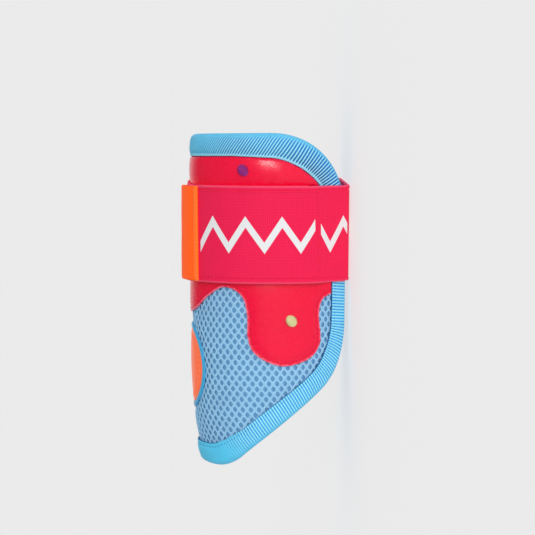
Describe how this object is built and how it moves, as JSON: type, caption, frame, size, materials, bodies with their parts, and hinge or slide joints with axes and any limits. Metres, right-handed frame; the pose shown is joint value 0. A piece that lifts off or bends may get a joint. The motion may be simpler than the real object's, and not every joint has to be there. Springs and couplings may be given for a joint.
{
  "type": "elbow guard",
  "caption": "Padded C-shaped elbow guard for batting, with a mesh-covered foam shell, lobed leather panel, bound edge, raised badge and a closed elastic strap.",
  "frame": {"origin": "on the strap's flat back, midway between the guard's sides, on the surface that the guard lies on", "axes": "+Z out of the guard's front, which is up as it lies on its strap, +Y along the arm to the wide end, X across the arm"},
  "size_m": [0.1127, 0.22, 0.1103],
  "materials": {
    "air_mesh": "knitted air mesh over foam",
    "ribbed_tape": "ribbed binding tape",
    "red_leather": "fine-grained synthetic leather",
    "red_elastic": "woven elastic with a white print",
    "hook_tape": "hook tape",
    "orange_tape": "folded woven tape",
    "orange_badge": "soft moulded rubber",
    "blue_rim": "soft moulded rubber",
    "plum_thread": "satin stitch",
    "cream_thread": "satin stitch"
  },
  "bodies": {
    "root": {"pad": "air_mesh", "edge_binding": "ribbed_tape", "panel": "red_leather", "strap": "red_elastic", "hook_patch": "hook_tape", "pull_tab": "orange_tape", "badge": "orange_badge", "badge_rim": "blue_rim", "dot_plum_near": "plum_thread", "dot_plum_far": "plum_thread", "dot_cream_near": "cream_thread", "dot_cream_far": "cream_thread"}
  },
  "joints": []
}
